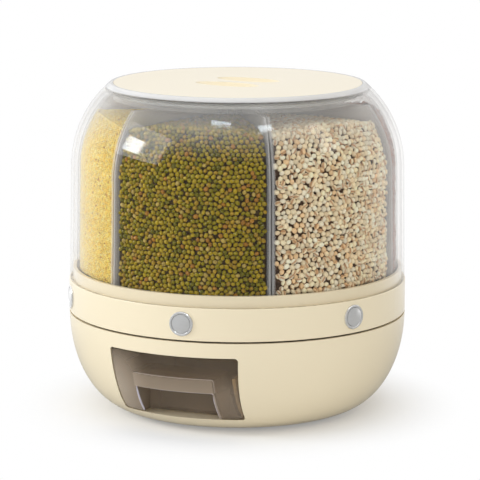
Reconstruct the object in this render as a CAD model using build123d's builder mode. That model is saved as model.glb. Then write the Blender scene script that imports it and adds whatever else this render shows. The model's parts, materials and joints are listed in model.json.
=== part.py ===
from build123d import *
import math
import os

# Grain dispenser: a turning hopper of clear bins over a base with a drawer.
# Lengths are in millimetres. The floor is at z = 0, the hopper turns about Z, and the drawer faces -Y.

# Counts and angles
bin_count = 6
foot_count = 6
deck_screw_count = 6
ball_count = 24
sector_angle = 360 / bin_count
hopper_turn = 5.0
grip_turn = -6.0

# Clearances
slip = 0.3
shaft_slip = 0.05
screw_slip = 0.1
overrun = 5.0

# Outline of the base and the collar
collar_radius = 155.0
bowl_foot_radius = 100.0
bowl_rim_height = 90.5
bowl_wall = 3.0
seam_gap = 1.6
collar_height = 29.4
collar_wall = 3.6
collar_edge = 0.8

# Outline of the clear shell and the lid
shell_step = 0.6
shell_draft = 1.6
shell_wall = 2.5
straight_height = 102.5
shoulder_arc = 100.0
mouth_angle = 46.55
neck_inset = 9.6
neck_wall = 2.4
neck_depth = 9.6
land_thickness = 2.4
rim_ledge = 1.3

# Feet
foot_height = 2.5
foot_recess = 1.0
foot_radius = 9.0
foot_inset = 22.0

# Drawer front, its opening in the bowl and its finger pocket
sill_height = 16.0
opening_margin = 2.3
opening_top_width = 124.0
opening_bottom_width = 117.0
opening_corner = 3.0
panel_gap = 1.1
panel_setback = 0.8
panel_wall = 2.6
pocket_width = 75.0
pocket_lip_rise = 27.4
pocket_rise = 39.0
pocket_depth = 45.0

# Drawer tray and the sleeve that it runs in
tray_inset = 4.5
tray_drop = 14.2
tray_wall = 2.2
sleeve_back = 18.0
sleeve_wall = 2.5
sleeve_drop = 4.8
sill_thickness = 3.0
sleeve_screw_inset = 14.0
sleeve_screw_near = 16.0
sleeve_boss_radius = 4.5

# Deck, its ledge in the bowl and its chute
deck_thickness = 3.0
deck_drop = 4.0
deck_slip = 0.6
ledge_width = 10.0
ledge_thickness = 4.0
deck_boss_inset = 7.5
deck_boss_radius = 4.8
deck_boss_height = 12.0
chute_margin = 5.0
chute_wall = 2.0
chute_height = 7.0
hub_boss_radius = 13.0
hub_boss_height = 11.0

# Screws
screw_radius = 1.6
screw_length = 9.0
screw_head_radius = 3.4
screw_head_height = 1.9

# Ball bearing
race_inset = 5.0
race_width = 12.0
race_thickness = 2.6
ball_radius = 3.0
ball_slip = 0.15
groove_depth = 1.4
cage_thickness = 2.4
cage_width = 10.0

# Pivot
bolt_radius = 5.0
bolt_head_flats = 16.0
bolt_head_height = 6.4
bolt_tail = 3.0
nut_height = 8.0
washer_radius = 10.5
washer_thickness = 2.0
bush_wall = 2.4
bush_flange_radius = 10.0
bush_flange = 1.5
hub_radius = 14.0
hub_height = 6.2
hex_sides = 6

# Hopper floor, the gate housings in its windows and the ring inside the shell
floor_thickness = 3.0
ring_wall = 3.2
ring_height = 10.5
race_seat_gap = 1.0
housing_wall = 3.0
housing_side = 2.5
housing_margin = 12.88
ear_length = 11.0
ear_reach = 11.0
ear_thickness = 3.0
ear_boss_height = 6.0
ear_boss_radius = 4.5

# Gates and buttons
press_travel = 10.0
slide_thickness = 7.4
slide_margin = 5.0
slot_share = 0.6
slot_length = 9.5
stem_radius = 3.2
cap_radius = 8.4
cap_length = 8.0
cap_rise = 2.2
cap_dome = 1.2
cap_front_wall = 3.0
bezel_flange = 1.1
bezel_rise = 1.3
bezel_seat = 0.7
bezel_wall = 1.0
bezel_length = 4.4
bezel_edge = 0.5

# Return springs
spring_pressed = 8.0
spring_radius = 2.8
spring_wire = 0.7
spring_turns = 6
nib_radius = 1.6
nib_length = 2.5

# Bins and grain
bin_wall = 2.0
bin_slip = 0.4
bin_gap = 1.6
bin_inner_radius = 24.0
bin_headroom = 11.6
bin_brow = 16.4
bin_crest = 36.0
valley_margin = 3.0
grain_slip = 0.3
grain_depth = 10.0
heap_drop = 8.5

# Lid
disc_edge = 3.0
disc_thickness = 2.8
skirt_wall = 2.0
skirt_length = 8.6
seal_gap = 2.7
seal_height = 4.4
seal_lip = 0.9
seal_lift = 2.0
dish_margin = 6.0
dish_wall = 2.2
scoop_length = 72.0
scoop_width = 30.0
scoop_depth = 8.5
grip_width = 9.0

# Heights worked out from the sizes above
bowl_floor = foot_height + bowl_wall
deck_top = bowl_rim_height - deck_drop
deck_bottom = deck_top - deck_thickness
ledge_bottom = deck_bottom - ledge_thickness
opening_top = ledge_bottom - opening_margin
chute_bottom = deck_bottom - chute_height
collar_bottom = bowl_rim_height + seam_gap
collar_top = collar_bottom + collar_height
button_height = collar_bottom + collar_height / 2
cavity_bottom = button_height - slide_thickness / 2 - slip
cavity_top = button_height + slide_thickness / 2 + slip
housing_bottom = cavity_bottom - housing_wall
ear_top = cavity_top - ear_boss_height
ear_bottom = ear_top - ear_thickness
floor_top = cavity_top + floor_thickness
ring_top = collar_top + ring_height
shoulder_height = collar_top + straight_height
mouth_height = shoulder_height + shoulder_arc * math.sin(math.radians(mouth_angle))
lid_seat = mouth_height + slip
ledge_top = lid_seat + rim_ledge
lid_top = ledge_top + disc_thickness
bin_top = mouth_height - bin_headroom
grain_top = bin_top - grain_depth

# Bearing heights
ball_height = deck_top + race_thickness - groove_depth + ball_radius + ball_slip
upper_race_bottom = ball_height + ball_radius + ball_slip - groove_depth
upper_race_top = upper_race_bottom + race_thickness

# Radii and widths worked out from the sizes above
shell_foot_radius = collar_radius - shell_step
shell_shoulder_radius = shell_foot_radius - shell_draft
shoulder_centre = shell_shoulder_radius - shoulder_arc
ring_radius = shell_foot_radius - shell_wall - slip
bin_outer_radius = ring_radius - ring_wall - bin_slip
bin_inset = shell_foot_radius - bin_outer_radius
heap_half = bin_outer_radius * math.sin(math.radians(sector_angle / 2))
heap_arc = (heap_half**2 + heap_drop**2) / (2 * heap_drop)
slot_inner = collar_radius * slot_share
slot_outer = slot_inner + slot_length
slide_inner = slot_inner - slide_margin
slide_outer = slot_outer + press_travel + slide_margin
spring_length = spring_pressed + press_travel
spring_seat = slide_inner - spring_length
housing_inner = spring_seat - housing_wall
race_radius = housing_inner - race_inset
housing_outer = slide_outer + slide_margin
housing_width = 2 * (housing_inner * math.tan(math.radians(sector_angle / 2)) - housing_margin)
slide_width = housing_width - 2 * (slip + housing_side)
slot_width = slide_width - 2 * slide_margin
ear_middle = housing_outer - ear_length / 2
ear_screw = housing_width / 2 + ear_reach / 2
cap_front = collar_radius + cap_rise
cap_shoulder = cap_front - cap_dome
cap_back = cap_shoulder - cap_length
cap_socket = cap_front - cap_front_wall
cap_bore = cap_radius + slip
bezel_radius = cap_bore + bezel_wall + bezel_flange
bezel_back = collar_radius - bezel_seat - bezel_length
disc_radius = math.sqrt(shoulder_arc**2 - (lid_top - shoulder_height) ** 2) + shoulder_centre - disc_edge
neck_radius = shoulder_centre + shoulder_arc * math.cos(math.radians(mouth_angle)) - neck_inset
skirt_radius = neck_radius - seal_gap
bowl_inner_radius = collar_radius - bowl_wall
ledge_radius = bowl_inner_radius - ledge_width
deck_boss_circle = bowl_inner_radius - deck_boss_inset
deck_radius = bowl_inner_radius - deck_slip
foot_circle = bowl_foot_radius - foot_inset
pocket_lip_height = sill_height + pocket_lip_rise
pocket_height = sill_height + pocket_rise
pocket_back = collar_radius - pocket_depth
tray_bottom = sill_height + slip
tray_top = chute_bottom - tray_drop
tray_width = opening_bottom_width - 2 * tray_inset
tray_back = sleeve_back + sleeve_wall + slip
sleeve_width = tray_width + 2 * slip + 2 * sleeve_wall

# Sleeve screws stand inside the flat of the bowl's floor
sleeve_screw_x = tray_width / 2 - sleeve_screw_inset
sleeve_screw_far = math.sqrt((bowl_foot_radius - sleeve_screw_inset) ** 2 - sleeve_screw_x**2)
sleeve_screw_reaches = (sleeve_back + sleeve_screw_near, sleeve_screw_far)
sleeve_screw_places = [(side * sleeve_screw_x, -reach) for side in (-1, 1) for reach in sleeve_screw_reaches]

# Directions of the bins from the middle, and the axis of a button that is drawn along +X
bin_angles = [hopper_turn - 90 + sector_angle * index for index in range(bin_count)]
button_axis = Axis((0, 0, button_height), (1, 0, 0))


def bowl_section(inset):
    """Half section of the space inside the bowl's outer face, moved inwards by the inset."""
    with BuildSketch(Plane.XZ) as section:
        with BuildLine():
            side = EllipticalCenterArc(
                (bowl_foot_radius, bowl_rim_height),
                collar_radius - bowl_foot_radius - inset,
                bowl_rim_height - foot_height - inset,
                start_angle=-90,
                arc_size=90,
            )
            Polyline(side @ 1, (0, bowl_rim_height), (0, foot_height + inset), side @ 0)
        make_face()
    return section.sketch


def dome_angle(inset, height):
    """Angle up the shoulder arc at which the dome, moved inwards by the inset, reaches a height."""
    return math.degrees(math.asin((height - shoulder_height) / (shoulder_arc - inset)))


def dome_arc(inset, from_height, to_height):
    """Stretch of the shoulder arc between two heights, moved inwards by the inset."""
    start = dome_angle(inset, from_height)
    return CenterArc(
        (shoulder_centre, shoulder_height),
        shoulder_arc - inset,
        start,
        dome_angle(inset, to_height) - start,
    )


def drawer_outline(inset):
    """Front outline of the drawer opening, moved inwards by the inset."""
    with BuildSketch(Plane.XZ) as outline:
        with BuildLine():
            Polyline(
                (opening_bottom_width / 2 - inset, sill_height + inset),
                (opening_top_width / 2 - inset, opening_top - inset),
                (inset - opening_top_width / 2, opening_top - inset),
                (inset - opening_bottom_width / 2, sill_height + inset),
                close=True,
            )
        make_face()
        fillet(outline.vertices(), opening_corner)
    return outline.sketch


def block(width, near, far, bottom, top, mode=Mode.ADD):
    """Box across the drawer's middle, between two distances to the front and two heights."""
    with BuildSketch(Plane.XY.offset(bottom)) as base:
        with Locations((0, -(near + far) / 2)):
            Rectangle(width, far - near)
    extrude(base.sketch, amount=top - bottom, mode=mode)


def bin_section(inset, top):
    """Half section of a bin's outer face, moved inwards by the inset, up to the given height."""
    with BuildSketch(Plane.XZ) as section:
        with BuildLine():
            shoulder = dome_arc(bin_inset, shoulder_height, top + inset)
            Polyline(
                shoulder @ 1,
                (bin_inner_radius, top + inset),
                (bin_inner_radius, floor_top + bin_crest),
                (slot_inner - valley_margin - bin_wall, floor_top),
                (slot_outer + valley_margin + bin_wall, floor_top),
                (bin_outer_radius, floor_top + bin_brow),
                shoulder @ 0,
            )
        make_face()
        if inset > 0:
            offset(amount=-inset, kind=Kind.INTERSECTION, mode=Mode.REPLACE)
    return section.sketch


def bin_wedge(inset):
    """Sector between a bin's two side walls, moved inwards by the inset."""
    half_angle = math.radians(sector_angle / 2)
    apex = (bin_gap / 2 + inset) / math.sin(half_angle)
    with BuildSketch() as wedge:
        with BuildLine():
            Polyline(
                (apex, 0),
                (apex + collar_radius, collar_radius * math.tan(half_angle)),
                (apex + collar_radius, -collar_radius * math.tan(half_angle)),
                close=True,
            )
        make_face()
    return wedge.sketch


def finish(piece, name):
    """Label a finished piece and write it to its file."""
    piece.part.label = name
    export_step(piece.part, f"parts/{name}.step")


os.makedirs("parts", exist_ok=True)

# Base bowl: a round shell with a ledge and bosses for the deck, and the drawer opening in front
with BuildPart() as base_bowl:
    revolve(bowl_section(0), axis=Axis.Z)
    revolve(bowl_section(bowl_wall), axis=Axis.Z, mode=Mode.SUBTRACT)
    with BuildSketch(Plane.XY.offset(ledge_bottom)):
        Circle(collar_radius - bowl_wall / 2)
        Circle(ledge_radius, mode=Mode.SUBTRACT)
    extrude(amount=ledge_thickness)
    with BuildSketch(Plane.XY.offset(deck_bottom)):
        with PolarLocations(deck_boss_circle, deck_screw_count):
            Circle(deck_boss_radius)
    extrude(amount=-deck_boss_height)
    with BuildSketch(Plane.XY.offset(deck_bottom)):
        with PolarLocations(deck_boss_circle, deck_screw_count):
            Circle(screw_radius + screw_slip)
    extrude(amount=-screw_length, mode=Mode.SUBTRACT)
    extrude(drawer_outline(0), amount=collar_radius + overrun, mode=Mode.SUBTRACT)
    with BuildSketch(Plane.XY.offset(foot_height)):
        with PolarLocations(foot_circle, foot_count, start_angle=sector_angle / 2):
            Circle(foot_radius + screw_slip)
    extrude(amount=foot_recess, mode=Mode.SUBTRACT)
    with BuildSketch(Plane.XY.offset(foot_height)):
        with Locations(*sleeve_screw_places):
            Circle(screw_radius + screw_slip)
    extrude(amount=bowl_wall, mode=Mode.SUBTRACT)
    with BuildSketch(Plane.XY.offset(foot_height)):
        with Locations(*sleeve_screw_places):
            Circle(screw_head_radius + screw_slip)
    extrude(amount=screw_head_height, mode=Mode.SUBTRACT)
finish(base_bowl, "base_bowl")

# Feet: rubber discs in recesses under the bowl
with BuildPart() as base_feet:
    with BuildSketch():
        with PolarLocations(foot_circle, foot_count, start_angle=sector_angle / 2):
            Circle(foot_radius)
    extrude(amount=foot_height + foot_recess)
finish(base_feet, "base_feet")

# Deck: cover disc with a chute over the drawer and a boss for the pivot bolt
chute_half = slot_outer * math.sin(math.radians(hopper_turn)) + slot_width / 2 + chute_margin
chute_near = slot_inner - chute_margin
chute_far = slot_outer + chute_margin
with BuildPart() as base_deck:
    with BuildSketch(Plane.XY.offset(deck_bottom)):
        Circle(deck_radius)
    extrude(amount=deck_thickness)
    with BuildSketch(Plane.XY.offset(deck_bottom)):
        Circle(hub_boss_radius)
    extrude(amount=-hub_boss_height)
    block(
        2 * (chute_half + chute_wall),
        chute_near - chute_wall,
        chute_far + chute_wall,
        chute_bottom,
        deck_bottom,
    )
    block(
        2 * chute_half,
        chute_near,
        chute_far,
        chute_bottom,
        deck_top,
        mode=Mode.SUBTRACT,
    )
    with BuildSketch(Plane.XY.offset(deck_top)):
        Circle(bolt_radius + shaft_slip)
    extrude(amount=-(deck_thickness + hub_boss_height), mode=Mode.SUBTRACT)
    with BuildSketch(Plane.XY.offset(deck_top)):
        with PolarLocations(deck_boss_circle, deck_screw_count):
            Circle(screw_radius + screw_slip)
    extrude(amount=-deck_thickness, mode=Mode.SUBTRACT)
finish(base_deck, "base_deck")

# Deck screws: round heads on the deck, shanks down into the bowl's bosses
with BuildPart() as deck_screws:
    with BuildSketch(Plane.XY.offset(deck_top)):
        with PolarLocations(deck_boss_circle, deck_screw_count):
            Circle(screw_head_radius)
    extrude(amount=screw_head_height)
    with BuildSketch(Plane.XY.offset(deck_top)):
        with PolarLocations(deck_boss_circle, deck_screw_count):
            Circle(screw_radius)
    extrude(amount=-screw_length)
finish(deck_screws, "deck_screws")

# Sill: floor of the drawer sleeve, out to the bowl's wall
with BuildPart() as sill:
    block(sleeve_width, sleeve_back, collar_radius, sill_height - sill_thickness, sill_height)
    revolve(bowl_section(bowl_wall + slip), axis=Axis.Z, mode=Mode.INTERSECT)

# Drawer sleeve: side walls and back around the drawer, and screw bosses under the sill
sleeve_inset = max(panel_setback + panel_wall, bowl_wall) + slip
sleeve_top = tray_top - sleeve_drop
with BuildPart() as drawer_sleeve:
    block(sleeve_width, sleeve_back, collar_radius, bowl_floor, sleeve_top)
    block(
        sleeve_width - 2 * sleeve_wall,
        sleeve_back + sleeve_wall,
        collar_radius,
        bowl_floor,
        sleeve_top,
        mode=Mode.SUBTRACT,
    )
    revolve(bowl_section(sleeve_inset), axis=Axis.Z, mode=Mode.INTERSECT)
    add(sill.part)
    with BuildSketch(Plane.XY.offset(bowl_floor)):
        with Locations(*sleeve_screw_places):
            Circle(sleeve_boss_radius)
    extrude(amount=sill_height - sill_thickness - bowl_floor)
    with BuildSketch(Plane.XY.offset(bowl_floor)):
        with Locations(*sleeve_screw_places):
            Circle(screw_radius + screw_slip)
    extrude(amount=screw_length - bowl_wall + slip, mode=Mode.SUBTRACT)
finish(drawer_sleeve, "drawer_sleeve")

# Sleeve screws: heads sunk in the bowl's underside
with BuildPart() as sleeve_screws:
    with BuildSketch(Plane.XY.offset(foot_height)):
        with Locations(*sleeve_screw_places):
            Circle(screw_head_radius)
    extrude(amount=screw_head_height)
    with BuildSketch(Plane.XY.offset(foot_height + screw_head_height)):
        with Locations(*sleeve_screw_places):
            Circle(screw_radius)
    extrude(amount=screw_length - screw_head_height)
finish(sleeve_screws, "sleeve_screws")

# Drawer front: curved panel in line with the bowl
with BuildPart() as drawer_front:
    extrude(drawer_outline(panel_gap), amount=collar_radius + overrun)
    revolve(bowl_section(panel_setback), axis=Axis.Z, mode=Mode.INTERSECT)
    revolve(bowl_section(panel_setback + panel_wall), axis=Axis.Z, mode=Mode.SUBTRACT)

# Open box behind the front, with the walls of the finger pocket
with BuildPart() as tray_box:
    block(tray_width, tray_back, collar_radius, tray_bottom, tray_top)
    block(
        tray_width - 2 * tray_wall,
        tray_back + tray_wall,
        collar_radius,
        tray_bottom + tray_wall,
        tray_top,
        mode=Mode.SUBTRACT,
    )
    block(
        pocket_width + 2 * tray_wall,
        pocket_back - tray_wall,
        collar_radius,
        tray_bottom,
        pocket_height + tray_wall,
    )
    block(pocket_width, pocket_back, collar_radius, tray_bottom, pocket_height, mode=Mode.SUBTRACT)
    revolve(bowl_section(panel_setback + panel_wall / 2), axis=Axis.Z, mode=Mode.INTERSECT)

# Drawer: the front and the box in one moulding, with the pocket open under the front's lip
with BuildPart() as drawer_tray:
    add(drawer_front.part)
    add(tray_box.part)
    block(pocket_width, pocket_back, collar_radius, sill_height, pocket_lip_height, mode=Mode.SUBTRACT)
finish(drawer_tray, "drawer_tray")


def race(bottom):
    """Flat ring with a round ball groove."""
    with BuildPart() as ring:
        with BuildSketch(Plane.XZ):
            with Locations((race_radius, bottom + race_thickness / 2)):
                Rectangle(race_width, race_thickness)
            with Locations((race_radius, ball_height)):
                Circle(ball_radius + ball_slip, mode=Mode.SUBTRACT)
        revolve(axis=Axis.Z)
    return ring


# Bearing: two races, with a ring of balls in a cage between them
finish(race(deck_top), "lower_race")
finish(race(upper_race_bottom), "upper_race")
with BuildPart(Plane.XY.offset(ball_height)) as bearing_balls:
    with PolarLocations(race_radius, ball_count):
        Sphere(ball_radius)
finish(bearing_balls, "bearing_balls")
with BuildPart() as ball_cage:
    with BuildSketch(Plane.XY.offset(ball_height - cage_thickness / 2)):
        Circle(race_radius + cage_width / 2)
        Circle(race_radius - cage_width / 2, mode=Mode.SUBTRACT)
        with PolarLocations(race_radius, ball_count):
            Circle(ball_radius + ball_slip, mode=Mode.SUBTRACT)
    extrude(amount=cage_thickness)
finish(ball_cage, "ball_cage")

# Pivot: bolt down through the hopper's bush and the deck, with a washer under its head and a nut below
hub_top = floor_top + hub_height
bush_top = hub_top + bush_flange
washer_bottom = bush_top + slip
nut_top = deck_bottom - hub_boss_height
with BuildPart() as pivot_bolt:
    with BuildSketch(Plane.XY.offset(washer_bottom + washer_thickness)):
        RegularPolygon(bolt_head_flats / 2, hex_sides, major_radius=False)
    extrude(amount=bolt_head_height)
    with BuildSketch(Plane.XY.offset(nut_top - nut_height - bolt_tail)):
        Circle(bolt_radius)
    extrude(amount=washer_bottom + washer_thickness - nut_top + nut_height + bolt_tail)
finish(pivot_bolt, "pivot_bolt")
with BuildPart() as pivot_nut:
    with BuildSketch(Plane.XY.offset(nut_top)):
        RegularPolygon(bolt_head_flats / 2, hex_sides, major_radius=False)
        Circle(bolt_radius + shaft_slip, mode=Mode.SUBTRACT)
    extrude(amount=-nut_height)
finish(pivot_nut, "pivot_nut")
with BuildPart() as thrust_washer:
    with BuildSketch(Plane.XY.offset(washer_bottom)):
        Circle(washer_radius)
        Circle(bolt_radius + shaft_slip, mode=Mode.SUBTRACT)
    extrude(amount=washer_thickness)
finish(thrust_washer, "thrust_washer")
with BuildPart() as pivot_bush:
    with BuildSketch(Plane.XY.offset(cavity_bottom)):
        Circle(bolt_radius + shaft_slip + bush_wall)
    extrude(amount=hub_top - cavity_bottom)
    with BuildSketch(Plane.XY.offset(hub_top)):
        Circle(bush_flange_radius)
    extrude(amount=bush_flange)
    with BuildSketch(Plane.XY.offset(cavity_bottom)):
        Circle(bolt_radius + shaft_slip)
    extrude(amount=bush_top - cavity_bottom, mode=Mode.SUBTRACT)
finish(pivot_bush, "pivot_bush")


def ear_circles(radius, height):
    """Round sections at the screws of all the housings' ears, on a plane at the given height."""
    ear_circle = math.hypot(ear_middle, ear_screw)
    ear_angle = math.degrees(math.atan2(ear_screw, ear_middle))
    with BuildSketch(Plane.XY.offset(height)) as circles:
        for side in (-ear_angle, ear_angle):
            with PolarLocations(ear_circle, bin_count, start_angle=bin_angles[0] + side):
                Circle(radius)
    return circles.sketch


# Hopper base: collar, floor with a window for each housing, ring inside the shell, hub, and button wells
button_planes = [
    Plane(
        origin=(
            collar_radius * math.cos(math.radians(angle)),
            collar_radius * math.sin(math.radians(angle)),
            button_height,
        ),
        z_dir=(math.cos(math.radians(angle)), math.sin(math.radians(angle)), 0),
    )
    for angle in bin_angles
]
button_well = collar_radius - cap_back + press_travel + slip
with BuildPart() as hopper_base:
    with BuildSketch(Plane.XZ) as collar:
        with Locations((collar_radius - collar_wall / 2, button_height)):
            Rectangle(collar_wall, collar_height)
        fillet(collar.vertices().group_by(Axis.X)[-1], collar_edge)
    revolve(axis=Axis.Z)
    with BuildSketch(Plane.XY.offset(cavity_top)):
        Circle(collar_radius - collar_wall / 2)
    extrude(amount=floor_thickness)
    with BuildSketch(Plane.XY.offset(cavity_top)):
        Circle(ring_radius)
        Circle(ring_radius - ring_wall, mode=Mode.SUBTRACT)
    extrude(amount=ring_top - cavity_top)
    with BuildSketch(Plane.XY.offset(cavity_bottom)):
        Circle(hub_radius)
    extrude(amount=hub_top - cavity_bottom)
    with BuildSketch(Plane.XY.offset(upper_race_top)):
        Circle(housing_inner - race_seat_gap)
        Circle(race_radius - race_width / 2, mode=Mode.SUBTRACT)
    extrude(amount=cavity_top - upper_race_top)
    extrude(ear_circles(ear_boss_radius, ear_top), amount=ear_boss_height)
    ear_holes = ear_circles(screw_radius + screw_slip, ear_top)
    extrude(ear_holes, amount=screw_length - ear_thickness, mode=Mode.SUBTRACT)
    with BuildSketch(Plane.XY.offset(cavity_bottom)):
        Circle(bolt_radius + 2 * shaft_slip + bush_wall)
    extrude(amount=hub_top - cavity_bottom, mode=Mode.SUBTRACT)
    with BuildSketch(Plane.XY.offset(cavity_top)):
        with PolarLocations((housing_inner + housing_outer) / 2, bin_count, start_angle=bin_angles[0]):
            Rectangle(housing_outer - housing_inner + 2 * slip, housing_width + 2 * slip)
    extrude(amount=floor_thickness, mode=Mode.SUBTRACT)
    with Locations(*button_planes):
        CounterBoreHole(
            cap_bore + bezel_wall + screw_slip, bezel_radius + screw_slip, bezel_seat, depth=button_well
        )
finish(hopper_base, "hopper_base")

# Housing screws: up through the ears into the hopper's bosses
with BuildPart() as housing_screws:
    extrude(ear_circles(screw_head_radius, ear_bottom), amount=-screw_head_height)
    extrude(ear_circles(screw_radius, ear_bottom), amount=screw_length)
finish(housing_screws, "housing_screws")

# Gate housing, drawn along +X: flat sleeve for the slide, closed behind the spring, with ears for its screws
with BuildPart() as gate_housing:
    with BuildSketch(Plane.XY.offset(housing_bottom)):
        with Locations(((housing_inner + housing_outer) / 2, 0)):
            Rectangle(housing_outer - housing_inner, housing_width)
    extrude(amount=floor_top - housing_bottom)
    with BuildSketch(Plane.XY.offset(ear_bottom)):
        with Locations((ear_middle, 0)):
            Rectangle(ear_length, housing_width + 2 * ear_reach)
    extrude(amount=ear_thickness)
    with BuildSketch(Plane.XY.offset(cavity_bottom)):
        with Locations(((spring_seat + housing_outer) / 2, 0)):
            Rectangle(housing_outer - spring_seat, slide_width + 2 * slip)
    extrude(amount=cavity_top - cavity_bottom, mode=Mode.SUBTRACT)
    with BuildSketch(Plane.XY.offset(housing_bottom)):
        with Locations(((slot_inner + slot_outer) / 2, 0)):
            Rectangle(slot_length, slot_width)
    extrude(amount=floor_top - housing_bottom, mode=Mode.SUBTRACT)
    with BuildSketch(Plane.XY.offset(ear_bottom)):
        with Locations((ear_middle, ear_screw), (ear_middle, -ear_screw)):
            Circle(screw_radius + screw_slip)
    extrude(amount=ear_thickness, mode=Mode.SUBTRACT)
    with BuildSketch(Plane.YZ.offset(spring_seat)):
        with Locations((0, button_height)):
            Circle(nib_radius)
    extrude(amount=nib_length)

# Gate slide, drawn along +X: block with the gate's window, stem to the button, nib for the spring
with BuildPart() as gate_slide:
    with BuildSketch(Plane.XY.offset(button_height - slide_thickness / 2)):
        with Locations(((slide_inner + slide_outer) / 2, 0)):
            Rectangle(slide_outer - slide_inner, slide_width)
        with Locations(((slot_inner + slot_outer) / 2 + press_travel, 0)):
            Rectangle(slot_length, slot_width, mode=Mode.SUBTRACT)
    extrude(amount=slide_thickness)
    with BuildSketch(Plane.YZ.offset(slide_outer)):
        with Locations((0, button_height)):
            Circle(stem_radius - shaft_slip)
    extrude(amount=cap_socket - slide_outer)
    with BuildSketch(Plane.YZ.offset(slide_inner)):
        with Locations((0, button_height)):
            Circle(nib_radius)
    extrude(amount=-nib_length)

# Button cap, drawn along +X: domed front, skirt, and a socket for the stem
dome_radius = (cap_radius**2 + cap_dome**2) / (2 * cap_dome)
with BuildPart() as button_cap:
    with BuildSketch(Plane.XZ):
        with BuildLine():
            Polyline(
                (cap_front, button_height),
                (cap_socket, button_height),
                (cap_socket, button_height + stem_radius),
                (cap_back, button_height + stem_radius),
                (cap_back, button_height + cap_radius),
                (cap_shoulder, button_height + cap_radius),
            )
            CenterArc(
                (cap_front - dome_radius, button_height),
                dome_radius,
                0,
                math.degrees(math.asin(cap_radius / dome_radius)),
            )
        make_face()
    revolve(axis=button_axis)

# Bezel, drawn along +X: barrel in the collar and a rounded flange on its seat
with BuildPart() as bezel:
    with BuildSketch(Plane.XZ):
        with BuildLine():
            Polyline(
                (bezel_back, button_height + cap_bore),
                (bezel_back, button_height + cap_bore + bezel_wall),
                (collar_radius - bezel_seat, button_height + cap_bore + bezel_wall),
                (collar_radius - bezel_seat, button_height + bezel_radius),
                (collar_radius + bezel_rise - bezel_edge, button_height + bezel_radius),
                (collar_radius + bezel_rise, button_height + bezel_radius - bezel_edge),
                (collar_radius + bezel_rise, button_height + cap_bore + bezel_edge),
                (collar_radius + bezel_rise - bezel_edge, button_height + cap_bore),
                close=True,
            )
        make_face()
    revolve(axis=button_axis)
with BuildPart() as button_bezels:
    for angle in bin_angles:
        add(bezel.part, rotation=(0, 0, angle))
finish(button_bezels, "button_bezels")

# Return spring, drawn along +X: open coil between the housing's end and the slide
with BuildPart() as return_spring:
    with BuildLine() as coil:
        coil_length = spring_length - spring_wire - 2 * slip
        Helix(
            coil_length / spring_turns,
            coil_length,
            spring_radius - spring_wire / 2,
            center=(spring_seat + spring_wire / 2 + slip, 0, button_height),
            direction=(1, 0, 0),
        )
    with BuildSketch(Plane(origin=coil.line @ 0, z_dir=coil.line % 0)):
        Circle(spring_wire / 2)
    sweep(path=coil.line, is_frenet=True)

# Outer shell: clear dome with a flat land and a short neck at its mouth
with BuildPart() as outer_shell:
    with BuildSketch(Plane.XZ):
        with BuildLine():
            outside = dome_arc(0, shoulder_height, mouth_height)
            inside = dome_arc(shell_wall, shoulder_height, mouth_height - land_thickness)
            Polyline(
                outside @ 1,
                (neck_radius, mouth_height),
                (neck_radius, mouth_height - neck_depth),
                (neck_radius + neck_wall, mouth_height - neck_depth),
                (neck_radius + neck_wall, mouth_height - land_thickness),
                inside @ 1,
            )
            Polyline(
                inside @ 0,
                (shell_foot_radius - shell_wall, collar_top),
                (shell_foot_radius, collar_top),
                outside @ 0,
            )
        make_face()
    revolve(axis=Axis.Z)
finish(outer_shell, "outer_shell")

# Grain bin, drawn along +X: clear wedge that slopes to an outlet over the gate
with BuildPart() as bin_space:
    revolve(bin_section(bin_wall, bin_top + overrun), axis=Axis.Z)
    extrude(bin_wedge(bin_wall), amount=lid_top, mode=Mode.INTERSECT)
with BuildPart() as grain_bin:
    revolve(bin_section(0, bin_top), axis=Axis.Z)
    extrude(bin_wedge(0), amount=lid_top, mode=Mode.INTERSECT)
    add(bin_space.part, mode=Mode.SUBTRACT)
    with BuildSketch(Plane.XY.offset(floor_top)):
        with Locations(((slot_inner + slot_outer) / 2, 0)):
            Rectangle(slot_length, slot_width)
    extrude(amount=bin_wall, mode=Mode.SUBTRACT)

# Grain, drawn along +X: the heap that fills a bin, crowned from side to side
with BuildPart() as grain_fill:
    revolve(bin_section(bin_wall + grain_slip, grain_top + overrun), axis=Axis.Z)
    extrude(bin_wedge(bin_wall + grain_slip), amount=lid_top, mode=Mode.INTERSECT)
    with BuildSketch(Plane.YZ):
        with Locations((0, grain_top - heap_arc)):
            Circle(heap_arc)
    extrude(amount=collar_radius, mode=Mode.INTERSECT)

# One bin, fill, housing, slide, cap and spring for each sector
sector_pieces = {
    "grain_bin": grain_bin,
    "grain_fill": grain_fill,
    "gate_housing": gate_housing,
    "gate_slide": gate_slide,
    "button_cap": button_cap,
    "return_spring": return_spring,
}
for name, master in sector_pieces.items():
    for index, angle in enumerate(bin_angles, start=1):
        with BuildPart() as copy:
            add(master.part, rotation=(0, 0, angle))
        finish(copy, f"{name}_{index}")

# Lid rim: clear flange in line with the dome, with a ledge for the disc and a skirt into the neck
with BuildPart() as lid_rim:
    with BuildSketch(Plane.XZ):
        with BuildLine():
            edge = dome_arc(0, lid_seat, lid_top)
            Polyline(
                edge @ 1,
                (disc_radius + slip, lid_top),
                (disc_radius + slip, ledge_top),
                (skirt_radius - skirt_wall, ledge_top),
                (skirt_radius - skirt_wall, lid_seat - skirt_length),
                (skirt_radius, lid_seat - skirt_length),
                (skirt_radius, lid_seat),
                edge @ 0,
            )
        make_face()
    revolve(axis=Axis.Z)
finish(lid_rim, "lid_rim")

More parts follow.
